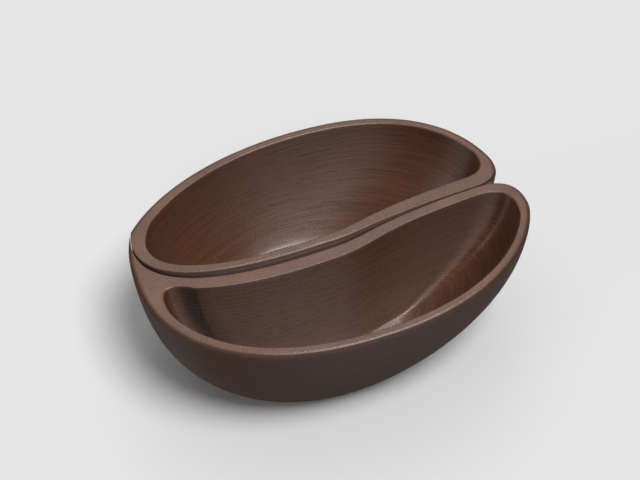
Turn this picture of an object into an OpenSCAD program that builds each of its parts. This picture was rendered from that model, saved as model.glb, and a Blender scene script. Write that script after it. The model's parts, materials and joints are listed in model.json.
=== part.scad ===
// Bean bowl: two snack bowls that nest along an S-shaped seam and read together as one coffee bean.
// Millimetres, +Z up, long axis along X, origin on the table under the middle of the bean.
// Each bowl is one loft: rings of points climb the outside, roll over the rim and sink to the floor.

/* [Bean] */
// Height of the rims above the table
bean_height = 52; // [38:1:70]
// Length of the bean's outline, before its noses are rounded
bean_length = 157; // [136:1:190]
// Width of the bean, front to back
bean_width = 110; // [96:1:136]
// How far the rear bowl's blunt tail stops short of the front bowl's nose
tail_setback = 5; // [3:0.5:10]
// How far the rear bowl's outline would run past the front one's at the left, if the seam didn't cut it
tip_reach = 5.8; // [3:0.1:8]
// How far behind the middle the front bowl's outline is longest, at the left
tip_lift = 2.2; // [0:0.1:4]
// Where the rear bowl's outline is deepest, right of the middle
rear_crown = 4; // [0:0.5:10]
// Fullness of the rear bowl's outline at the right: 2 is an ellipse, more is squarer
rear_power_share = 2.3; // [2:0.05:2.5]
// Fullness of the front bowl's outline at the left
front_power_share = 2.3; // [2:0.05:2.4]
// Fullness of the front bowl's outline at its nose, on the right
nose_power_share = 2.1; // [2:0.05:2.3]
// Slimness of the sides between the foot and the rim: 1 is an ellipse, more is slimmer
sweep_share = 1.5; // [1:0.05:1.7]

/* [Foot] */
// Length of the flat foot under both bowls
foot_length = 93; // [80:1:100]
// Width of the flat foot under both bowls
foot_width = 78; // [68:1:84]
// How far the foot sits left of the middle
foot_shift = 11.5; // [4:0.5:15]

/* [Seam] */
// Clearance between the bowls at the left end of the seam
seam_gap_left = 0.4; // [0.4:0.1:1]
// Clearance where it is widest, a third of the way along the seam
seam_gap_middle = 2; // [0.6:0.1:2.4]
// Clearance at the right end of the seam
seam_gap_right = 0.4; // [0.3:0.1:1]
// Rounding of the rear bowl's rim where the gap is widest
rear_seam_edge_r = 2; // [0.8:0.1:2.4]
// Rounding of the front bowl's rim where the gap is widest
front_seam_edge_r = 1; // [0.4:0.1:2]
// Rounding of both rims at the ends of the seam
seam_end_edge_r = 0.3; // [0.2:0.1:1]

/* [Walls] */
// Wall at the rim along the bean's outside
wall = 4.1; // [3:0.1:6]
// Rear bowl's wall at the rim at the left end
rear_left_wall = 6.7; // [4:0.1:8]
// Front bowl's wall at the rim at the left end, where it is pinched
front_left_wall = 4.8; // [4:0.1:8]
// Rounded shoulder from the rim's top to the bean's widest line
shoulder_r = 2; // [1.5:0.1:2.6]
// Rounding of the compartments' upper edges
lip_r = 0.6; // [0.2:0.1:0.8]
// Thickness of the floors
floor_t = 4.5; // [3:0.5:8]
// Rear bowl's rim along the seam, at its left end
rear_seam_rim_left = 5.2; // [4:0.1:7]
// Rear bowl's rim along the seam, a third of the way along
rear_seam_rim_middle = 4.2; // [3.5:0.1:6]
// Rear bowl's rim along the seam, at its right end
rear_seam_rim_right = 6; // [4:0.1:8]
// Front bowl's rim along the seam, at its left end
front_seam_rim_left = 4; // [3:0.1:6]
// Front bowl's rim along the seam, a third of the way along
front_seam_rim_middle = 6; // [4:0.1:7]
// Front bowl's rim along the seam, at its right end
front_seam_rim_right = 4.1; // [3:0.1:6]

/* [Compartments] */
// How far the rear compartment's seam wall slopes in from rim to floor
rear_scoop = 9; // [4:0.5:14]
// How far the front compartment's seam wall slopes in from rim to floor
front_scoop = 7; // [4:0.5:10]

/* [Corners] */
// Rear bowl's tail corner, measured along both sides
rear_tail_corner = 12; // [4:0.5:15]
// Front bowl's nose corner, measured along both sides
front_nose_corner = 16.5; // [8:0.5:20]
// Rear bowl's blunt tip where the two meet at the left
rear_tip_corner = 0.4; // [0.3:0.1:2]
// Front bowl's pointed tip where the two meet at the left
front_tip_corner = 1; // [0.5:0.5:4]
// Corners of both bowls at the foot
foot_corner = 4; // [2:0.5:8]
// Rear compartment's corner at the left
rear_pocket_left_corner = 6.5; // [5:0.5:14]
// Rear compartment's corner at the right
rear_pocket_right_corner = 11.5; // [6:0.5:14]
// Front compartment's corner at the left
front_pocket_left_corner = 18; // [8:0.5:20]
// Front compartment's corner at the right
front_pocket_right_corner = 15.5; // [8:0.5:18]
// Corners of both compartments at the floor
floor_corner = 5; // [3:0.5:10]

/* [Hidden] */

REAR = 1;
FRONT = -1;
bean_brown = "#4d352c";

// Bezier points of the seam, as shares of half the length and half the width.
// The point after the join mirrors the one before it.
seam_start_share = [-0.8, 0.82];
seam_nose_share = [-1.36, -0.25];
seam_belly_share = [-0.28, -0.143];
seam_join_share = [-0.05, -0.133];
seam_rise_share = [0.19, -0.01];
seam_end_share = [1.03, 0.019];
seam_lead_share = 0.12;
seam_middle_share = 0.45;
plain_power_share = 2;
seam_crowding_share = 1.3;

// Counts of points and rings, and halvings when a crossing is searched for
seam_steps = 48;
arc_steps = 32;
corner_steps = 5;
body_rings = 12;
shoulder_rings = 5;
rim_rings = 6;
pocket_rings = 11;
lip_rings = 3;
search_steps = 26;

half_length = bean_length / 2;
half_width = bean_width / 2;
shoulder_z = bean_height - shoulder_r;
lip_z = bean_height - lip_r;

function mix(a, b, t) = a + (b - a) * t;
function unit(v) = v / norm(v);

// Seam curve, from v = 0 past the left end to v = 1 past the right end
function seam_knot(s) = [s.x * half_length, s.y * half_width];
seam_left = [for (s = [seam_start_share, seam_nose_share, seam_belly_share, seam_join_share]) seam_knot(s)];
seam_right = [
    seam_left[3],
    2 * seam_left[3] - seam_left[2],
    seam_knot(seam_rise_share),
    seam_knot(seam_end_share)
];
function bezier(c, t) =
    pow(1 - t, 3) * c[0] + 3 * pow(1 - t, 2) * t * c[1] + 3 * (1 - t) * t * t * c[2] + pow(t, 3) * c[3];
function bezier_slope(c, t) =
    pow(1 - t, 2) * (c[1] - c[0]) + 2 * (1 - t) * t * (c[2] - c[1]) + t * t * (c[3] - c[2]);
function seam_point(v) = v < 0.5 ? bezier(seam_left, 2 * v) : bezier(seam_right, 2 * v - 1);
function seam_slope(v) = unit(v < 0.5 ? bezier_slope(seam_left, 2 * v) : bezier_slope(seam_right, 2 * v - 1));

// A size that changes along the seam is [at its left end, a third of the way along, at its right end].
// Along the lead, the part of the curve before its left bend, a size keeps its first value.
all_along = [1, 1, 1];
seam_gap = [seam_gap_left, seam_gap_middle, seam_gap_right];
function swell(u) = 27 / 4 * u * pow(1 - u, 2);
function seam_mix(s, v) =
    let (u = max(0, (v - seam_lead_share) / (1 - seam_lead_share)))
    mix(s[0], s[2], u) + (s[1] - mix(s[0], s[2], 1 / 3)) * swell(u);

// One bowl's seam line, set back from the curve by half the gap and an inset
function seam_line(side, inset, v) =
    let (
        slope = seam_slope(v),
        setback = seam_mix(seam_gap, v) / 2 + seam_mix(inset, v)
    )
    seam_point(v) + side * setback * [-slope.y, slope.x];

// Bean arc of one bowl, from 0 degrees at its right end to 180 at its left end.
// An arc is [x of its crown, x of its left end, x of its right end, depth, left and right fullness, y of its
// left end]. The y of its right end is 0.
function signed_pow(b, e) = sign(b) * pow(abs(b), e);
function arc_run(arc, x) = x < arc[0] ? arc[0] - arc[1] : arc[2] - arc[0];
function arc_power(arc, x) = x < arc[0] ? arc[4] : arc[5];
function arc_base(arc, x) = x < arc[0] ? arc[6] : 0;
function arc_depth(side, arc, x) = side * arc[3] - arc_base(arc, x);
function arc_point(side, arc, q) =
    let (x = arc[0] + cos(q), e = 2 / arc_power(arc, x))
    [
        arc[0] + signed_pow(cos(q), e) * arc_run(arc, x),
        arc_base(arc, x) + signed_pow(sin(q), e) * arc_depth(side, arc, x)
    ];
function arc_share(side, arc, p) =
    [(p.x - arc[0]) / arc_run(arc, p.x), (p.y - arc_base(arc, p.x)) / arc_depth(side, arc, p.x)];
function arc_angle(side, arc, p) =
    let (
        share = arc_share(side, arc, p),
        e = arc_power(arc, p.x) / 2,
        q = atan2(signed_pow(share.y, e), signed_pow(share.x, e))
    )
    q < -90 ? q + 360 : q;
function inside_arc(side, arc, p) =
    let (share = arc_share(side, arc, p), e = arc_power(arc, p.x))
    pow(abs(share.x), e) + pow(abs(share.y), e) < 1;

// Seam parameter where the seam line leaves the bean arc, between v = a inside and v = b outside
function seam_exit(side, arc, inset, a, b, n = search_steps) =
    n == 0 ? (a + b) / 2
    : inside_arc(side, arc, seam_line(side, inset, (a + b) / 2))
        ? seam_exit(side, arc, inset, (a + b) / 2, b, n - 1)
        : seam_exit(side, arc, inset, a, (a + b) / 2, n - 1);

// Parameters at a set distance from a corner, on the seam line and on the bean arc
function seam_trim(side, inset, corner, length, a, b, n = search_steps) =
    n == 0 ? (a + b) / 2
    : norm(seam_line(side, inset, (a + b) / 2) - corner) < length
        ? seam_trim(side, inset, corner, length, (a + b) / 2, b, n - 1)
        : seam_trim(side, inset, corner, length, a, (a + b) / 2, n - 1);
function arc_trim(side, arc, corner, length, a, b, n = search_steps) =
    n == 0 ? (a + b) / 2
    : norm(arc_point(side, arc, (a + b) / 2) - corner) < length
        ? arc_trim(side, arc, corner, length, (a + b) / 2, b, n - 1)
        : arc_trim(side, arc, corner, length, a, (a + b) / 2, n - 1);

function corner_blend(from, corner, to) = [
    for (i = [1 : corner_steps])
        let (t = i / (corner_steps + 1))
        pow(1 - t, 2) * from + 2 * t * (1 - t) * corner + t * t * to
];

// Closed ring of one bowl at height z: the seam line, the bean arc and the two corners between them.
// The seam's points crowd towards its left end, where it bends most.
function ring(side, arc, inset, corners, z) =
    let (
        v_left = seam_exit(side, arc, inset, seam_middle_share, 0),
        v_right = seam_exit(side, arc, inset, seam_middle_share, 1),
        left = seam_line(side, inset, v_left),
        right = seam_line(side, inset, v_right),
        q_left = arc_angle(side, arc, left),
        q_right = arc_angle(side, arc, right),
        v_a = seam_trim(side, inset, left, corners[0], v_left, seam_middle_share),
        v_b = seam_trim(side, inset, right, corners[1], v_right, seam_middle_share),
        q_a = arc_trim(side, arc, right, corners[1], q_right, 90),
        q_b = arc_trim(side, arc, left, corners[0], q_left, 90),
        along_seam = [
            for (i = [0 : seam_steps])
                seam_line(side, inset, mix(v_a, v_b, pow(i / seam_steps, seam_crowding_share)))
        ],
        along_arc = [for (i = [0 : arc_steps]) arc_point(side, arc, mix(q_a, q_b, i / arc_steps))]
    )
    [
        for (p = concat(
            along_seam,
            corner_blend(along_seam[seam_steps], right, along_arc[0]),
            along_arc,
            corner_blend(along_arc[arc_steps], left, along_seam[0])
        )) [p.x, p.y, z]
    ];

// Sizes that differ between the two bowls
rear_arc = [
    rear_crown,
    -half_length - tip_reach,
    half_length - tail_setback,
    half_width,
    plain_power_share,
    rear_power_share,
    0
];
front_arc = [0, -half_length, half_length, half_width, front_power_share, nose_power_share, tip_lift];
function bowl_arc(side) = side == REAR ? rear_arc : front_arc;
function left_wall(side) = side == REAR ? rear_left_wall : front_left_wall;
function bowl_corners(side) = side == REAR
    ? [rear_tip_corner, rear_tail_corner]
    : [front_tip_corner, front_nose_corner];
function seam_edge(side) =
    [seam_end_edge_r, side == REAR ? rear_seam_edge_r : front_seam_edge_r, seam_end_edge_r];
function seam_rim(side) = side == REAR
    ? [rear_seam_rim_left, rear_seam_rim_middle, rear_seam_rim_right]
    : [front_seam_rim_left, front_seam_rim_middle, front_seam_rim_right];
function seam_scoop(side) = side == REAR ? rear_scoop : front_scoop;
function pocket_corners(side) = side == REAR
    ? [rear_pocket_left_corner, rear_pocket_right_corner]
    : [front_pocket_left_corner, front_pocket_right_corner];
foot_arc = [
    -foot_shift,
    -foot_shift - foot_length / 2,
    -foot_shift + foot_length / 2,
    foot_width / 2,
    plain_power_share,
    plain_power_share,
    0
];
foot_corners = [foot_corner, foot_corner];
floor_corners = [floor_corner, floor_corner];

// An arc moved in by one set-back at its left end and another elsewhere
function arc_inset(arc, left, rest) = arc + [0, left, -rest, -rest, 0, 0, 0];

// Set-back of a quarter-round edge of radius r at a height h above its start
function edge_setback(r, h) = h <= 0 ? 0 : r - sqrt(max(0, r * r - h * h));

// Outside: a rounded sweep up from the foot to the shoulder, then the rounded shoulder
function sweep(b) = pow(sin(b), sweep_share);
function body_ring(side, b) =
    ring(
        side,
        mix(foot_arc, bowl_arc(side), sweep(b)),
        0 * all_along,
        mix(foot_corners, bowl_corners(side), sweep(b)),
        shoulder_z * (1 - cos(b))
    );
function shoulder_ring(side, b) =
    let (
        z = shoulder_z + shoulder_r * sin(b),
        setback = edge_setback(shoulder_r, z - shoulder_z)
    )
    ring(
        side,
        arc_inset(bowl_arc(side), setback, setback),
        [for (r = seam_edge(side)) edge_setback(r, z - bean_height + r)],
        bowl_corners(side),
        z
    );

// Flat top of the rim, from the shoulder, t = 0, to the lip, t = 1
function rim_ring(side, t) =
    ring(
        side,
        arc_inset(
            bowl_arc(side),
            mix(shoulder_r, left_wall(side) - lip_r, t),
            mix(shoulder_r, wall - lip_r, t)
        ),
        mix(seam_edge(side), seam_rim(side) - lip_r * all_along, t),
        mix(bowl_corners(side), pocket_corners(side), t),
        bean_height
    );

// Inside: the rounded lip, then a rounded sweep down to the floor, with the seam wall scooped
function lip_ring(side, b) =
    let (flare = edge_setback(lip_r, lip_r * sin(b)))
    ring(
        side,
        arc_inset(bowl_arc(side), left_wall(side) - flare, wall - flare),
        seam_rim(side) - flare * all_along,
        pocket_corners(side),
        lip_z + lip_r * sin(b)
    );
function pocket_ring(side, b) =
    ring(
        side,
        arc_inset(mix(foot_arc, bowl_arc(side), sweep(b)), left_wall(side), wall),
        seam_rim(side) + seam_scoop(side) * (1 - sweep(b)) * all_along,
        mix(floor_corners, pocket_corners(side), sweep(b)),
        mix(lip_z, floor_t, cos(b))
    );

function bowl_rings(side) = concat(
    [for (i = [0 : body_rings]) body_ring(side, 90 * i / body_rings)],
    [for (i = [1 : shoulder_rings]) shoulder_ring(side, 90 * i / shoulder_rings)],
    [for (i = [1 : rim_rings - 1]) rim_ring(side, i / rim_rings)],
    [for (i = [lip_rings : -1 : 1]) lip_ring(side, 90 * i / lip_rings)],
    [for (i = [pocket_rings : -1 : 0]) pocket_ring(side, 90 * i / pocket_rings)]
);

// Middle of the two outlines at their widest, which the bowls are moved by so that it is the origin
rim_points = concat(body_ring(REAR, 90), body_ring(FRONT, 90));
function middle(values) = (min(values) + max(values)) / 2;
bean_middle = [middle([for (p = rim_points) p.x]), middle([for (p = rim_points) p.y]), 0];

// Skins a stack of rings with equal point counts and closes both ends; flip turns the faces round.
// Each four-sided face is split along its shorter diagonal.
module loft(rings, flip) {
    points = [for (r = rings) each r];
    n = len(rings[0]);
    last = len(points) - n;
    bands = [
        for (k = [0 : n : last - n], i = [0 : n - 1])
            let (a = k + i, b = k + (i + 1) % n)
            each norm(points[a] - points[b + n]) < norm(points[b] - points[a + n])
                ? [[a, a + n, b + n], [a, b + n, b]]
                : [[a, a + n, b], [b, a + n, b + n]]
    ];
    ends = [[for (i = [0 : n - 1]) i], [for (i = [n - 1 : -1 : 0]) last + i]];
    faces = concat(bands, ends);
    polyhedron(
        points = points,
        faces = flip ? [for (f = faces) [for (i = [len(f) - 1 : -1 : 0]) f[i]]] : faces
    );
}

module rear_bowl() {
    color(bean_brown) translate(-bean_middle) loft(bowl_rings(REAR), flip = false);
}

module front_bowl() {
    color(bean_brown) translate(-bean_middle) loft(bowl_rings(FRONT), flip = true);
}

rear_bowl();
front_bowl();
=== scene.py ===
"""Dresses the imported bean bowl: two smooth nesting shells in layered brown, on a pale floor."""

import json
import logging
import math
from collections.abc import Callable
from dataclasses import astuple, dataclass, field, replace
from enum import Enum

import bmesh
import bpy
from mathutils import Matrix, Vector


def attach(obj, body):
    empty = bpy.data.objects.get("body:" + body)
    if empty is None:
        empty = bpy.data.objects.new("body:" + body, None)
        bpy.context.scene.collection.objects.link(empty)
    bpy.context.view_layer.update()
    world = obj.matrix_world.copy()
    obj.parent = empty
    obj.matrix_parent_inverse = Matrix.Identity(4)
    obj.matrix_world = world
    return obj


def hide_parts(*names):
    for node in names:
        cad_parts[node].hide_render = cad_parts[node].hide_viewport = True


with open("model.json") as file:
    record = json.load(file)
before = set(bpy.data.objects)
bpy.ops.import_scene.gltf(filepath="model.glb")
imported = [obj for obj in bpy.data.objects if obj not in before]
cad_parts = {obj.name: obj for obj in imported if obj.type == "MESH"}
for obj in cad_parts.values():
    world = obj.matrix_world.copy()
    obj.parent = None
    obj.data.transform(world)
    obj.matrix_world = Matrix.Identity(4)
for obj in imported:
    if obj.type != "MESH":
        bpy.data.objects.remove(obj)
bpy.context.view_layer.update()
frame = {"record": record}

log = logging.getLogger("bean_bowl")

MM = 0.001
SEARCH_STEPS = 40
QUARTER = math.pi / 2
BLACK = (0, 0, 0, 1)
WHITE = (1, 1, 1, 1)

# A swell of w * (1 - w)^2 is highest a third of the way along, and this factor makes it 1 there.
THIRD = 1 / 3
SWELL = 27 / 4
# Share of the seam where its sizes start to change, and how its points crowd at its left end.
SEAM_LEAD = 0.12
SEAM_CROWDING = 1.3

Colour = tuple[float, float, float]
Place = tuple[float, float, float]
Along = tuple[float, float, float]
Pair = tuple[float, float]


class Side(Enum):
    """The two bowls, as the sign of their depth along Y."""

    REAR = 1
    FRONT = -1


def mix(a: float, b: float, share: float) -> float:
    """Goes from a to b by a share of the way."""
    return a + (b - a) * share


def mix_pair(a: Pair, b: Pair, share: float) -> Pair:
    """Goes from one pair of values to another by a share of the way."""
    return mix(a[0], b[0], share), mix(a[1], b[1], share)


def along_seam(sizes: Along, share: float) -> float:
    """Gives a size that changes along the seam, at a share of the way.

    Args:
        sizes: The size at the seam's left end, a third of the way along and at its right end.
        share: Place along the seam.

    Returns:
        The size there.
    """
    way = max(0.0, (share - SEAM_LEAD) / (1 - SEAM_LEAD))
    swell = SWELL * way * (1 - way) ** 2
    return mix(sizes[0], sizes[2], way) + (sizes[1] - mix(sizes[0], sizes[2], THIRD)) * swell


def widened(sizes: Along, step: float) -> Along:
    """Adds one step to a size all along the seam."""
    return sizes[0] + step, sizes[1] + step, sizes[2] + step


def signed_power(base: float, exponent: float) -> float:
    """Raises the size of a number to a power and keeps its sign."""
    return math.copysign(abs(base) ** exponent, base)


def edge_setback(radius: float, height: float) -> float:
    """Gives how far a quarter-round edge has moved in, at a height above its start.

    Args:
        radius: Radius of the edge.
        height: Height above the edge's start.

    Returns:
        The distance from the edge's widest line.
    """
    if height <= 0:
        return 0.0
    return radius - math.sqrt(max(0.0, radius * radius - height * height))


def halve(low: float, high: float, keeps_low: Callable[[float], bool]) -> float:
    """Searches for the place where a test stops holding.

    Args:
        low: A place where the test holds.
        high: A place where it doesn't.
        keeps_low: The test, a function of the place.

    Returns:
        The place between them where the test changes.
    """
    for _ in range(SEARCH_STEPS):
        middle = (low + high) / 2
        if keeps_low(middle):
            low = middle
        else:
            high = middle
    return (low + high) / 2


@dataclass(frozen=True)
class BeanArc:
    """Half an outline of the bean at one level: a superellipse whose crown sits off the middle.

    The right end lies at y 0 and the left end at y left_lift. Each side of the crown has its own
    fullness.
    """

    crown: float
    left: float
    right: float
    depth: float
    left_fullness: float = 2.0
    right_fullness: float = 2.0
    left_lift: float = 0.0

    def fullness(self, x: float) -> float:
        """Gives the fullness on the side of the crown where x lies."""
        return self.left_fullness if x < self.crown else self.right_fullness

    def run(self, x: float) -> float:
        """Gives the arc's reach along X on the side of its crown where x lies."""
        return self.crown - self.left if x < self.crown else self.right - self.crown

    def base(self, x: float) -> float:
        """Gives the y of the arc's end on the side of the crown where x lies."""
        return self.left_lift if x < self.crown else 0.0

    def rise(self, side: Side, x: float) -> float:
        """Gives the signed distance from that end's y to the crown's."""
        return side.value * self.depth - self.base(x)

    def point(self, side: Side, turn: float) -> Vector:
        """Gives a point of the arc.

        Args:
            side: The bowl that the arc belongs to.
            turn: Place along the arc, from 0 at its right end to pi at its left end.

        Returns:
            The point, level.
        """
        # Only the side of the crown where this x lies matters.
        x = self.crown + math.cos(turn)
        exponent = 2 / self.fullness(x)
        across = signed_power(math.cos(turn), exponent)
        out = signed_power(math.sin(turn), exponent)
        return Vector((self.crown + across * self.run(x), self.base(x) + out * self.rise(side, x)))

    def shares(self, side: Side, point: Vector) -> Pair:
        """Gives a point's place as shares of the arc's reach and rise."""
        x = point.x
        return (x - self.crown) / self.run(x), (point.y - self.base(x)) / self.rise(side, x)

    def turn_at(self, side: Side, point: Vector) -> float:
        """Finds where the arc passes in the direction of a point.

        Args:
            side: The bowl that the arc belongs to.
            point: The point.

        Returns:
            The turn at which the arc passes.
        """
        across, out = self.shares(side, point)
        exponent = self.fullness(point.x) / 2
        turn = math.atan2(signed_power(out, exponent), signed_power(across, exponent))
        return turn + 2 * math.pi if turn < -QUARTER else turn

    def holds(self, side: Side, point: Vector) -> bool:
        """Tells whether a point lies inside the whole outline that the arc belongs to.

        Args:
            side: The bowl that the arc belongs to.
            point: The point.

        Returns:
            Whether it lies inside.
        """
        across, out = self.shares(side, point)
        exponent = self.fullness(point.x)
        return abs(across) ** exponent + abs(out) ** exponent < 1

    def toward(self, other: "BeanArc", share: float) -> "BeanArc":
        """Gives the arc that lies a share of the way to another one."""
        return BeanArc(*(mix(a, b, share) for a, b in zip(astuple(self), astuple(other))))

    def inset(self, left: float, rest: float) -> "BeanArc":
        """Gives the arc moved in by one set-back at its left end and another elsewhere."""
        right, depth = self.right - rest, self.depth - rest
        return replace(self, left=self.left + left, right=right, depth=depth)


@dataclass(frozen=True)
class Seam:
    """The S-shaped line between the bowls: two cubic curves that meet at a smooth join."""

    start: Pair
    nose: Pair
    belly: Pair
    join: Pair
    rise: Pair
    end: Pair
    gap: Along

    def knots(self, share: float) -> tuple[tuple[Vector, ...], float]:
        """Finds the curve that a share of the seam lies on.

        Args:
            share: Place along the seam.

        Returns:
            The curve's four knots, and the share along that curve.
        """
        join, belly = Vector(self.join), Vector(self.belly)
        if share < 0.5:
            return (Vector(self.start), Vector(self.nose), belly, join), 2 * share
        return (join, 2 * join - belly, Vector(self.rise), Vector(self.end)), 2 * share - 1

    def point(self, share: float) -> Vector:
        """Gives a point of the seam.

        Args:
            share: Place along the seam, from its left end to its right end.

        Returns:
            The point, level.
        """
        k, t = self.knots(share)
        u = 1 - t
        return u**3 * k[0] + 3 * u * u * t * k[1] + 3 * u * t * t * k[2] + t**3 * k[3]

    def left_normal(self, share: float) -> Vector:
        """Gives the direction across the seam, towards the rear bowl.

        Args:
            share: Place along the seam.

        Returns:
            The direction, of length 1.
        """
        k, t = self.knots(share)
        u = 1 - t
        slope = u * u * (k[1] - k[0]) + 2 * u * t * (k[2] - k[1]) + t * t * (k[3] - k[2])
        slope.normalize()
        return Vector((-slope.y, slope.x))

    def line(self, side: Side, inset: Along, share: float) -> Vector:
        """Gives one bowl's own seam line, set back by half the gap and an inset.

        Args:
            side: The bowl.
            inset: Set-back along the seam.
            share: Place along the seam.

        Returns:
            The point on the bowl's seam line.
        """
        back = along_seam(self.gap, share) / 2 + along_seam(inset, share)
        return self.point(share) + side.value * back * self.left_normal(share)


@dataclass(frozen=True)
class Bean:
    """Sizes that the two bowls share, in metres."""

    seam: Seam
    foot: BeanArc
    middle_x: float
    height: float = 52 * MM
    sweep: float = 1.5
    wall: float = 4.1 * MM
    shoulder_r: float = 2 * MM
    lip_r: float = 0.6 * MM
    floor_t: float = 4.5 * MM
    foot_corners: Pair = (4 * MM, 4 * MM)
    floor_corners: Pair = (5 * MM, 5 * MM)
    seam_middle: float = 0.45

    @property
    def shoulder_z(self) -> float:
        """Height of the bean's widest line."""
        return self.height - self.shoulder_r

    @property
    def lip_z(self) -> float:
        """Height where the compartments' rounded upper edges start."""
        return self.height - self.lip_r


@dataclass(frozen=True)
class Bowl:
    """Sizes of one bowl, in metres, and its speckle; pairs hold its left and right corners."""

    side: Side
    arc: BeanArc
    corners: Pair
    left_wall: float
    seam_edge: Along
    seam_rim: Along
    scoop: float
    pocket_corners: Pair
    speckle: float


@dataclass(frozen=True)
class RingCounts:
    """How finely a shell is lofted, before it is subdivided once."""

    seam: int = 80
    arc: int = 64
    corner: int = 10
    body: int = 14
    shoulder: int = 6
    rim: int = 8
    lip: int = 4
    pocket: int = 18


class NodeSheet:
    """Adds and joins the nodes of a material, of a world or of a node group."""

    # Places of a Mix node's sockets for colours: its share and two inputs, and its result.
    COLOUR_INPUTS = (0, 6, 7)
    COLOUR_RESULT = 2

    def __init__(self, tree: bpy.types.NodeTree) -> None:
        """Starts with a tree, emptied."""
        self.tree = tree
        tree.nodes.clear()

    def add(self, kind: str, **settings: object) -> bpy.types.Node:
        """Adds a node and sets its options.

        Args:
            kind: The node's type name.
            settings: Options of the node, by name.

        Returns:
            The node.
        """
        node = self.tree.nodes.new(kind)
        for key, value in settings.items():
            setattr(node, key, value)
        return node

    def put(self, socket: bpy.types.NodeSocket, value: object) -> None:
        """Links an output to a socket, or sets the socket's own value.

        Args:
            socket: The input socket.
            value: An output socket or a plain value.
        """
        if isinstance(value, bpy.types.NodeSocket):
            self.tree.links.new(value, socket)
        else:
            socket.default_value = value

    def feed(self, node: bpy.types.Node, **values: object) -> bpy.types.Node:
        """Sets or links a node's inputs.

        Args:
            node: The node.
            values: Its inputs, by name; spaces in the names are written as underscores.

        Returns:
            The same node.
        """
        for key, value in values.items():
            self.put(node.inputs[key.replace("_", " ")], value)
        return node

    def math(self, operation: str, *values: object) -> bpy.types.NodeSocket:
        """Adds a Math node.

        Args:
            operation: What the node does.
            values: One, two or three values to do it on.

        Returns:
            The result.
        """
        node = self.add("ShaderNodeMath", operation=operation)
        for socket, value in zip(node.inputs, values):
            self.put(socket, value)
        return node.outputs[0]

    def ramp(self, value: object, start: Pair, end: Pair = (0.0, 1.0)) -> bpy.types.NodeSocket:
        """Spreads a value's range over another range, held at its ends.

        Args:
            value: The value.
            start: The range that the value has.
            end: The range that it gets.

        Returns:
            The spread value.
        """
        node = self.add("ShaderNodeMapRange", clamp=True)
        self.feed(node, Value=value, From_Min=start[0], From_Max=start[1])
        self.feed(node, To_Min=end[0], To_Max=end[1])
        return node.outputs[0]

    def between(self, mask: object, off: float, on: float) -> bpy.types.NodeSocket:
        """Goes from one value, where a mask is 0, to another, where it is 1."""
        return self.ramp(mask, (0.0, 1.0), (off, on))

    def blend(self, share: object, a: object, b: object) -> bpy.types.NodeSocket:
        """Mixes two colours.

        Args:
            share: How much of the second colour there is.
            a: The first colour.
            b: The second colour.

        Returns:
            The mixed colour.
        """
        node = self.add("ShaderNodeMix", data_type="RGBA")
        for index, value in zip(self.COLOUR_INPUTS, (share, a, b)):
            self.put(node.inputs[index], value)
        return node.outputs[self.COLOUR_RESULT]

    def noise(
        self, place: object, scale: float, detail: float = 1.0, roughness: float = 0.5
    ) -> bpy.types.NodeSocket:
        """Adds a noise texture.

        Args:
            place: Where the noise is taken.
            scale: How fine it is.
            detail: How many finer noises are laid over it.
            roughness: How strong those are.

        Returns:
            The noise's value.
        """
        node = self.add("ShaderNodeTexNoise")
        self.feed(node, Vector=place, Scale=scale, Detail=detail, Roughness=roughness)
        return node.outputs[0]

    def split(self, vector: object) -> tuple[bpy.types.NodeSocket, ...]:
        """Gives the X, Y and Z of a vector."""
        return tuple(self.feed(self.add("ShaderNodeSeparateXYZ"), Vector=vector).outputs)

    def join(self, x: object, y: object, z: object) -> bpy.types.NodeSocket:
        """Gives the vector made of an X, a Y and a Z."""
        return self.feed(self.add("ShaderNodeCombineXYZ"), X=x, Y=y, Z=z).outputs[0]


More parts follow.
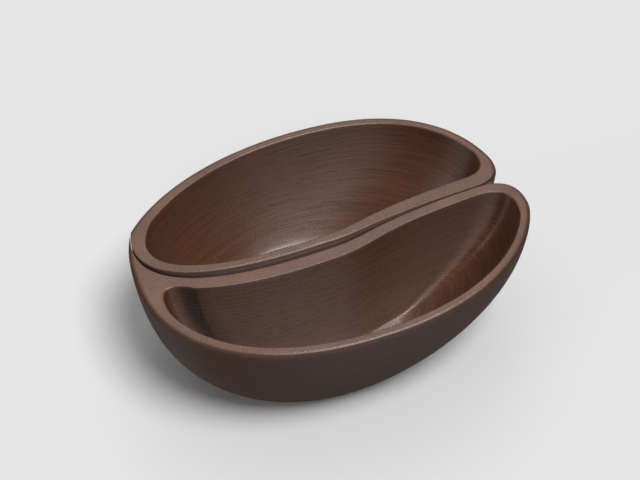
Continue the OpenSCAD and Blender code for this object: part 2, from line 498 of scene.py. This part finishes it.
class LayerLines:
    """Node group: the level lines left by laying the shell down in thin layers, and masks."""

    NAME = "layer_lines"
    INPUTS = (("Pitch", 0.0007), ("Run", 0.022), ("Waver", 0.2))
    OUTPUTS = ("Height", "Streak", "Hair", "Grain", "Level", "Outside")
    # Upward part of the normal from which a face counts as level.
    LEVEL_BAND = (0.78, 0.96)
    # Heights between which a level face counts in part, as a floor, or in full, as a rim.
    RIM_BAND = (0.015, 0.045)
    FLOOR_SHARE = 0.45
    # Distance from the middle, along its normal, from which a face counts as outside.
    OUTSIDE_BAND = (0.024, 0.034)
    # Noise scales: the drift and the grain per metre, the others per layer and per run.
    DRIFT_SCALE = 45.0
    GRAIN_SCALE = 1700.0
    LINE_SCALE = 0.5
    HAIR_SCALE = 1.9
    STREAK_SCALE = 0.9
    STREAK_DETAIL = 3.0
    STREAK_ROUGHNESS = 0.65

    @classmethod
    def group(cls) -> bpy.types.NodeTree:
        """Builds the group the first time it is asked for.

        Returns:
            The group.
        """
        if cls.NAME in bpy.data.node_groups:
            return bpy.data.node_groups[cls.NAME]
        tree = bpy.data.node_groups.new(cls.NAME, "ShaderNodeTree")
        kind = "NodeSocketFloat"
        for name, value in cls.INPUTS:
            socket = tree.interface.new_socket(name, in_out="INPUT", socket_type=kind)
            socket.default_value = value
        for name in cls.OUTPUTS:
            tree.interface.new_socket(name, in_out="OUTPUT", socket_type=kind)
        sheet = NodeSheet(tree)
        given = sheet.add("NodeGroupInput").outputs
        here = sheet.add("ShaderNodeTexCoord").outputs
        place, normal = here["Object"], here["Normal"]
        x, y, z = sheet.split(place)
        facing_up = sheet.split(normal)[2]
        rim = sheet.ramp(z, cls.RIM_BAND, (cls.FLOOR_SHARE, 1.0))
        level = sheet.math("MULTIPLY", sheet.ramp(facing_up, cls.LEVEL_BAND), rim)
        outward = sheet.add("ShaderNodeVectorMath", operation="DOT_PRODUCT")
        sheet.put(outward.inputs[0], normal)
        sheet.put(outward.inputs[1], place)
        outside = sheet.ramp(outward.outputs["Value"], cls.OUTSIDE_BAND)
        outside = sheet.between(sheet.math("SUBTRACT", outside, level), 0.0, 1.0)
        drift = sheet.noise(place, cls.DRIFT_SCALE, detail=2.0)
        layer = sheet.math("DIVIDE", z, given["Pitch"])
        layer = sheet.math("MULTIPLY_ADD", drift, given["Waver"], layer)
        along_x = sheet.math("DIVIDE", x, given["Run"])
        along_y = sheet.math("DIVIDE", y, given["Run"])
        stretched = sheet.join(along_x, along_y, layer)
        sheet.feed(
            sheet.add("NodeGroupOutput"),
            Height=sheet.noise(stretched, cls.LINE_SCALE),
            Streak=sheet.noise(
                stretched, cls.STREAK_SCALE, cls.STREAK_DETAIL, cls.STREAK_ROUGHNESS
            ),
            Hair=sheet.noise(stretched, cls.HAIR_SCALE),
            Grain=sheet.noise(place, cls.GRAIN_SCALE),
            Level=level,
            Outside=outside,
        )
        return tree


@dataclass(frozen=True)
class LayeredFinish:
    """Satin brown laid down in fine level layers; lengths are in metres.

    The highlight is stretched upwards, across the layers. Level faces are polished and speckled,
    steep ones ribbed and scratched by dark hairlines, and the outside is matt and darkened towards
    black with painted shade. The roughness is that of a deep streak and of a pale one.
    """

    name: str
    level_speckle: float
    steep_speckle: float = 0.8
    deep: Colour = (0.090, 0.034, 0.0165)
    pale: Colour = (0.156, 0.061, 0.030)
    roughness: Pair = (0.48, 0.38)
    gloss: float = 0.54
    stretch: float = 1.0
    stretch_along: Place = (0.03, 0.02, 1.0)
    coat: float = 0.8
    coat_roughness: float = 0.36
    pitch: float = 0.0007
    run: float = 0.022
    relief: float = 0.00012
    relief_strength: float = 0.8
    streak_band: Pair = (0.3, 0.7)
    steep_ribs: float = 1.8
    level_ribs: float = 0.6
    hair_band: Pair = (0.36, 0.28)
    hair_depth: float = 0.7
    level_polish: float = 0.16
    outside_matt: float = 0.62
    # Share by which the outside's colour is darkened towards black: painted shade.
    outside_painted_shade: float = 0.54

    def material(self) -> bpy.types.Material:
        """Makes the finish.

        Returns:
            The material.
        """
        material = bpy.data.materials.new(self.name)
        material.use_nodes = True
        sheet = NodeSheet(material.node_tree)
        lines = sheet.add("ShaderNodeGroup", node_tree=LayerLines.group())
        sheet.feed(lines, Pitch=self.pitch, Run=self.run)
        line, streak, hair, grain, level, outside = (
            lines.outputs[name] for name in LayerLines.OUTPUTS
        )
        steep = sheet.math("SUBTRACT", 1.0, level)
        scratch = sheet.math("MULTIPLY", sheet.ramp(hair, self.hair_band), steep)
        tone = sheet.ramp(streak, self.streak_band)
        tone = sheet.math("MULTIPLY_ADD", scratch, -self.hair_depth, tone)
        tone = sheet.between(tone, 0.0, 1.0)
        colour = sheet.blend(tone, (*self.deep, 1), (*self.pale, 1))
        # Painted shade: the outside's colour is darkened towards black, as if it lay in shade.
        colour = sheet.blend(sheet.between(outside, 0.0, self.outside_painted_shade), colour, BLACK)
        rough = sheet.ramp(streak, self.streak_band, self.roughness)
        rough = sheet.math("MULTIPLY_ADD", level, -self.level_polish, rough)
        rough = sheet.math("MULTIPLY_ADD", outside, self.outside_matt, rough)
        speckle = sheet.between(level, self.steep_speckle, self.level_speckle)
        ribs = sheet.between(level, self.steep_ribs, self.level_ribs)
        relief = sheet.math("MULTIPLY_ADD", scratch, -self.hair_depth, line)
        relief = sheet.math("MULTIPLY_ADD", grain, speckle, relief)
        relief = sheet.math("MULTIPLY_ADD", streak, ribs, relief)
        bump = sheet.add("ShaderNodeBump")
        sheet.feed(bump, Height=relief, Distance=self.relief, Strength=self.relief_strength)
        skin = sheet.add("ShaderNodeBsdfPrincipled")
        sheet.feed(
            skin,
            Base_Color=colour,
            Roughness=rough,
            Normal=bump.outputs[0],
            Tangent=sheet.join(*self.stretch_along),
            Anisotropic=self.stretch,
            Specular_IOR_Level=self.gloss,
            Coat_Weight=sheet.between(outside, self.coat, 0.0),
            Coat_Roughness=self.coat_roughness,
        )
        sheet.feed(sheet.add("ShaderNodeOutputMaterial"), Surface=skin.outputs[0])
        return material


@dataclass
class BowlShell:
    """One bowl as a smooth shell, lofted ring by ring up the outside and down the inside."""

    name: str
    node: str
    slot: str
    bean: Bean
    bowl: Bowl
    counts: RingCounts = field(default_factory=RingCounts)

    def ring(self, arc: BeanArc, inset: Along, corners: Pair, z: float) -> list[Vector]:
        """Gives the closed ring of one level: the seam line, the bean arc and the corners between.

        Args:
            arc: The outline at this level.
            inset: Set-back of the seam line.
            corners: Length of the left and right corners, along both of their sides.
            z: Height of the level.

        Returns:
            The ring's points.
        """
        side, seam, middle = self.bowl.side, self.bean.seam, self.bean.seam_middle

        def on_seam(share: float) -> Vector:
            """Gives a point of the bowl's seam line."""
            return seam.line(side, inset, share)

        def on_arc(turn: float) -> Vector:
            """Gives a point of the bowl's arc."""
            return arc.point(side, turn)

        share_left = halve(middle, 0, lambda v: arc.holds(side, on_seam(v)))
        share_right = halve(middle, 1, lambda v: arc.holds(side, on_seam(v)))
        left, right = on_seam(share_left), on_seam(share_right)
        seam_from = halve(share_left, middle, lambda v: (on_seam(v) - left).length < corners[0])
        seam_to = halve(share_right, middle, lambda v: (on_seam(v) - right).length < corners[1])
        turn_left, turn_right = arc.turn_at(side, left), arc.turn_at(side, right)
        arc_from = halve(turn_right, QUARTER, lambda q: (on_arc(q) - right).length < corners[1])
        arc_to = halve(turn_left, QUARTER, lambda q: (on_arc(q) - left).length < corners[0])
        count = self.counts
        steps = [(i / count.seam) ** SEAM_CROWDING for i in range(count.seam + 1)]
        seam_side = [on_seam(mix(seam_from, seam_to, step)) for step in steps]
        arc_side = [on_arc(mix(arc_from, arc_to, i / count.arc)) for i in range(count.arc + 1)]
        flat = (
            seam_side
            + self.corner(seam_side[-1], right, arc_side[0])
            + arc_side
            + self.corner(arc_side[-1], left, seam_side[0])
        )
        return [Vector((p.x - self.bean.middle_x, p.y, z)) for p in flat]

    def corner(self, start: Vector, tip: Vector, end: Vector) -> list[Vector]:
        """Gives the points of a rounded corner between two sides.

        Args:
            start: The end of one side.
            tip: The point where the sides would meet.
            end: The start of the other side.

        Returns:
            The corner's points, without its ends.
        """
        points = []
        for i in range(1, self.counts.corner + 1):
            t = i / (self.counts.corner + 1)
            points.append((1 - t) ** 2 * start + 2 * t * (1 - t) * tip + t * t * end)
        return points

    def sweep(self, turn: float) -> float:
        """Gives how far a level has opened from the foot to the rim."""
        return math.sin(turn) ** self.bean.sweep

    def body_ring(self, turn: float) -> list[Vector]:
        """Gives a ring of the rounded outside.

        Args:
            turn: Place on its sweep, from 0 at the foot to a quarter turn at the shoulder.

        Returns:
            The ring's points.
        """
        out = self.sweep(turn)
        return self.ring(
            self.bean.foot.toward(self.bowl.arc, out),
            (0, 0, 0),
            mix_pair(self.bean.foot_corners, self.bowl.corners, out),
            self.bean.shoulder_z * (1 - math.cos(turn)),
        )

    def shoulder_ring(self, turn: float) -> list[Vector]:
        """Gives a ring of the rounded shoulder, whose seam side is rounded too.

        Args:
            turn: Place on the rounding, from 0 below to a quarter turn at the rim.

        Returns:
            The ring's points.
        """
        bean, bowl = self.bean, self.bowl
        z = bean.shoulder_z + bean.shoulder_r * math.sin(turn)
        back = edge_setback(bean.shoulder_r, z - bean.shoulder_z)
        first, third, last = (edge_setback(r, z - bean.height + r) for r in bowl.seam_edge)
        return self.ring(bowl.arc.inset(back, back), (first, third, last), bowl.corners, z)

    def rim_ring(self, share: float) -> list[Vector]:
        """Gives a ring of the rim's flat top.

        Args:
            share: Place across the rim, from 0 at the shoulder to 1 at the lip.

        Returns:
            The ring's points.
        """
        bean, bowl = self.bean, self.bowl
        first, third, last = (
            mix(edge, rim - bean.lip_r, share) for edge, rim in zip(bowl.seam_edge, bowl.seam_rim)
        )
        return self.ring(
            bowl.arc.inset(
                mix(bean.shoulder_r, bowl.left_wall - bean.lip_r, share),
                mix(bean.shoulder_r, bean.wall - bean.lip_r, share),
            ),
            (first, third, last),
            mix_pair(bowl.corners, bowl.pocket_corners, share),
            bean.height,
        )

    def lip_ring(self, turn: float) -> list[Vector]:
        """Gives a ring of the compartment's rounded upper edge.

        Args:
            turn: Place on the rounding, from 0 below to a quarter turn at the rim.

        Returns:
            The ring's points.
        """
        rise = self.bean.lip_r * math.sin(turn)
        flare = edge_setback(self.bean.lip_r, rise)
        return self.ring(
            self.bowl.arc.inset(self.bowl.left_wall - flare, self.bean.wall - flare),
            widened(self.bowl.seam_rim, -flare),
            self.bowl.pocket_corners,
            self.bean.lip_z + rise,
        )

    def pocket_ring(self, turn: float) -> list[Vector]:
        """Gives a ring of the compartment.

        Args:
            turn: Place on its sweep, from 0 at its floor to a quarter turn at its lip.

        Returns:
            The ring's points.
        """
        out = self.sweep(turn)
        arc = self.bean.foot.toward(self.bowl.arc, out)
        return self.ring(
            arc.inset(self.bowl.left_wall, self.bean.wall),
            widened(self.bowl.seam_rim, self.bowl.scoop * (1 - out)),
            mix_pair(self.bean.floor_corners, self.bowl.pocket_corners, out),
            mix(self.bean.lip_z, self.bean.floor_t, math.cos(turn)),
        )

    def rings(self) -> list[list[Vector]]:
        """Gives every ring of the shell.

        Returns:
            The rings, from the foot up the outside, over the rim and down to the floor.
        """
        c = self.counts
        outside = [self.body_ring(QUARTER * i / c.body) for i in range(c.body + 1)]
        shoulder = [self.shoulder_ring(QUARTER * i / c.shoulder) for i in range(1, c.shoulder + 1)]
        rim = [self.rim_ring(i / c.rim) for i in range(1, c.rim)]
        lip = [self.lip_ring(QUARTER * i / c.lip) for i in range(c.lip, 0, -1)]
        inside = [self.pocket_ring(QUARTER * i / c.pocket) for i in range(c.pocket, -1, -1)]
        return outside + shoulder + rim + lip + inside

    def build(self) -> bpy.types.Object:
        """Models the shell: a circle is laid on the foot ring and drawn up and over, ring by ring.

        Returns:
            The finished shell, at the origin.
        """
        rings = self.rings()
        bpy.ops.object.select_all(action="DESELECT")
        bpy.ops.mesh.primitive_circle_add(
            vertices=len(rings[0]), radius=self.bean.height, location=(0, 0, 0)
        )
        shell = bpy.context.object
        shell.name = shell.data.name = self.name
        bpy.ops.object.mode_set(mode="EDIT")
        bpy.ops.mesh.select_all(action="SELECT")
        cage = bmesh.from_edit_mesh(shell.data)
        place = cage.verts.layers.int.new("place")
        for i, vert in enumerate(cage.verts):
            vert[place] = i
        self.lay(shell, rings[0])
        bpy.ops.mesh.select_mode(type="EDGE")
        for ring in rings[1:]:
            bpy.ops.mesh.extrude_edges_move()
            self.lay(shell, ring)
        bpy.ops.object.mode_set(mode="OBJECT")
        shell.data.attributes.remove(shell.data.attributes["place"])
        smooth = shell.modifiers.new("smooth", "SUBSURF")
        smooth.levels = smooth.render_levels = 1
        bpy.ops.object.modifier_apply(modifier=smooth.name)
        self.close()
        bpy.ops.object.shade_smooth()
        return shell

    @staticmethod
    def lay(shell: bpy.types.Object, ring: list[Vector]) -> None:
        """Lays the selected ring of a shell that is in edit mode.

        Args:
            shell: The shell.
            ring: The points to lay it on.
        """
        cage = bmesh.from_edit_mesh(shell.data)
        place = cage.verts.layers.int["place"]
        for vert in cage.verts:
            if vert.select:
                vert.co = ring[vert[place]]
        bmesh.update_edit_mesh(shell.data)

    @staticmethod
    def close() -> None:
        """Closes the active shell's foot and floor, and turns every face outwards."""
        bpy.ops.object.mode_set(mode="EDIT")
        bpy.ops.mesh.select_all(action="SELECT")
        bpy.ops.mesh.fill_holes(sides=0)
        bpy.ops.mesh.select_all(action="SELECT")
        bpy.ops.mesh.normals_make_consistent(inside=False)
        bpy.ops.object.mode_set(mode="OBJECT")

    def dress(self, shell: bpy.types.Object) -> None:
        """Gives the shell its satin brown."""
        shell.data.materials.append(LayeredFinish(self.slot, self.bowl.speckle).material())


@dataclass(frozen=True)
class Lamp:
    """A distant soft lamp; angles are in degrees.

    It shines from turn, counted from +X towards +Y, and from rise above the floor. Its spread is
    its width as seen from the bean, and its level is its irradiance.
    """

    name: str
    turn: float
    rise: float
    spread: float
    level: float

    def hang(self) -> None:
        """Hangs the lamp so that it shines on the bean."""
        along, up = math.radians(self.turn), math.radians(self.rise)
        flat = math.cos(up)
        place = Vector((flat * math.cos(along), flat * math.sin(along), math.sin(up)))
        bpy.ops.object.select_all(action="DESELECT")
        bpy.ops.object.light_add(type="SUN", location=place)
        lamp = bpy.context.object
        lamp.name = self.name
        lamp.data.angle = math.radians(self.spread)
        lamp.data.energy = self.level
        lamp.rotation_euler = (-place).to_track_quat("-Z", "Y").to_euler()


@dataclass
class Studio:
    """The pale floor, the soft lights and the camera at the photograph's angle."""

    floor_size: float = 8.0
    floor_tone: float = 0.74
    floor_bounce: float = 0.1
    floor_roughness: float = 0.9
    sky_level: float = 0.02
    lamps: tuple[Lamp, ...] = (
        Lamp("soft_key", turn=-55, rise=68, spread=27, level=2.4),
        Lamp("front_strip", turn=-104, rise=42, spread=20, level=0.3),
        Lamp("top_box", turn=80, rise=66, spread=80, level=0.75),
        Lamp("back_fill", turn=69, rise=50, spread=22, level=0.12),
        Lamp("left_fill", turn=-175, rise=8, spread=30, level=0.8),
    )
    camera_place: Place = (-0.12707, -0.32410, 0.46010)
    camera_look: Place = (0.2272, 0.6013, -0.7660)
    camera_near: float = 0.01
    lens_mm: float = 78.75
    sensor_mm: float = 36.0

    def build(self) -> None:
        """Sets up everything around the object."""
        scene = bpy.context.scene
        scene.view_settings.view_transform = "Standard"
        self.floor()
        self.sky(scene)
        for lamp in self.lamps:
            lamp.hang()
        self.camera(scene)

    def floor(self) -> None:
        """Lays the floor, which is pale to the eye but throws little light back."""
        bpy.ops.object.select_all(action="DESELECT")
        bpy.ops.mesh.primitive_plane_add(size=self.floor_size, location=(0, 0, 0))
        floor = bpy.context.object
        floor.name = "floor"
        paint = bpy.data.materials.new("floor_paint")
        paint.use_nodes = True
        sheet = NodeSheet(paint.node_tree)
        tone = sheet.between(self.seen(sheet), self.floor_bounce, self.floor_tone)
        skin = sheet.add("ShaderNodeBsdfPrincipled")
        sheet.feed(
            skin, Base_Color=tone, Roughness=self.floor_roughness, Specular_IOR_Level=0.0
        )
        sheet.feed(sheet.add("ShaderNodeOutputMaterial"), Surface=skin.outputs[0])
        floor.data.materials.append(paint)

    @staticmethod
    def seen(sheet: NodeSheet) -> bpy.types.NodeSocket:
        """Tells rays by which a surface is seen or mirrored from those that carry light.

        Args:
            sheet: The material's nodes.

        Returns:
            1 for rays that see, and 0 for the others.
        """
        rays = sheet.add("ShaderNodeLightPath").outputs
        mirrored = sheet.math("MAXIMUM", rays["Is Glossy Ray"], rays["Is Transmission Ray"])
        return sheet.math("MAXIMUM", rays["Is Camera Ray"], mirrored)

    def sky(self, scene: bpy.types.Scene) -> None:
        """Gives the world a faint even light.

        Args:
            scene: The scene.
        """
        world = bpy.data.worlds.new("studio")
        scene.world = world
        world.use_nodes = True
        sheet = NodeSheet(world.node_tree)
        light = sheet.add("ShaderNodeBackground")
        sheet.feed(light, Color=WHITE, Strength=self.sky_level)
        sheet.feed(sheet.add("ShaderNodeOutputWorld"), Surface=light.outputs[0])

    def camera(self, scene: bpy.types.Scene) -> None:
        """Sets the camera at the photograph's angle.

        Args:
            scene: The scene.
        """
        bpy.ops.object.select_all(action="DESELECT")
        bpy.ops.object.camera_add(location=self.camera_place)
        camera = bpy.context.object
        camera.rotation_euler = Vector(self.camera_look).to_track_quat("-Z", "Y").to_euler()
        camera.data.lens = self.lens_mm
        camera.data.sensor_fit = "HORIZONTAL"
        camera.data.sensor_width = self.sensor_mm
        camera.data.clip_start = self.camera_near
        scene.camera = camera


def bean_bowls() -> list[BowlShell]:
    """Gives the sizes of the two shells.

    Returns:
        The rear shell and the front one.
    """
    half_length, half_width = 78.5 * MM, 55 * MM

    def knot(x: float, y: float) -> Pair:
        """Gives a knot of the seam from shares of the bean's half length and half width."""
        return x * half_length, y * half_width

    seam = Seam(
        start=knot(-0.8, 0.82),
        nose=knot(-1.36, -0.25),
        belly=knot(-0.28, -0.143),
        join=knot(-0.05, -0.133),
        rise=knot(0.19, -0.01),
        end=knot(1.03, 0.019),
        gap=(0.4 * MM, 2 * MM, 0.4 * MM),
    )
    foot = BeanArc(crown=-11.5 * MM, left=-58 * MM, right=35 * MM, depth=39 * MM)
    bean = Bean(seam=seam, foot=foot, middle_x=-1.155 * MM)
    rear = Bowl(
        side=Side.REAR,
        arc=BeanArc(
            crown=4 * MM,
            left=-half_length - 5.8 * MM,
            right=half_length - 5 * MM,
            depth=half_width,
            right_fullness=2.3,
        ),
        corners=(0.4 * MM, 12 * MM),
        left_wall=6.7 * MM,
        seam_edge=(0.3 * MM, 2 * MM, 0.3 * MM),
        seam_rim=(5.2 * MM, 4.2 * MM, 6 * MM),
        scoop=9 * MM,
        pocket_corners=(6.5 * MM, 11.5 * MM),
        speckle=2.6,
    )
    front = Bowl(
        side=Side.FRONT,
        arc=BeanArc(
            crown=0,
            left=-half_length,
            right=half_length,
            depth=half_width,
            left_fullness=2.3,
            right_fullness=2.1,
            left_lift=2.2 * MM,
        ),
        corners=(1 * MM, 16.5 * MM),
        left_wall=4.8 * MM,
        seam_edge=(0.3 * MM, 1 * MM, 0.3 * MM),
        seam_rim=(4 * MM, 6 * MM, 4.1 * MM),
        scoop=7 * MM,
        pocket_corners=(18 * MM, 15.5 * MM),
        speckle=1.6,
    )
    return [
        BowlShell("rear_bowl_shell", "rear_bowl", "rear_shell", bean, rear),
        BowlShell("front_bowl_shell", "front_bowl", "front_shell", bean, front),
    ]


def body_of_node(node: str) -> str:
    """Finds the body that holds a CAD node."""
    bodies = frame["record"]["behaviour"]["bodies"]
    return next(name for name, nodes in bodies.items() if node in nodes)


def main() -> None:
    """Builds the studio and the shells, and reports each piece."""
    logging.basicConfig(level=logging.INFO, format="%(name)s: %(message)s")
    Studio().build()
    for shell in bean_bowls():
        piece = shell.build()
        shell.dress(piece)
        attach(piece, body_of_node(shell.node))
        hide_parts(shell.node)
        log.info("%s: %d faces", piece.name, len(piece.data.polygons))


if __name__ == "__main__":
    main()
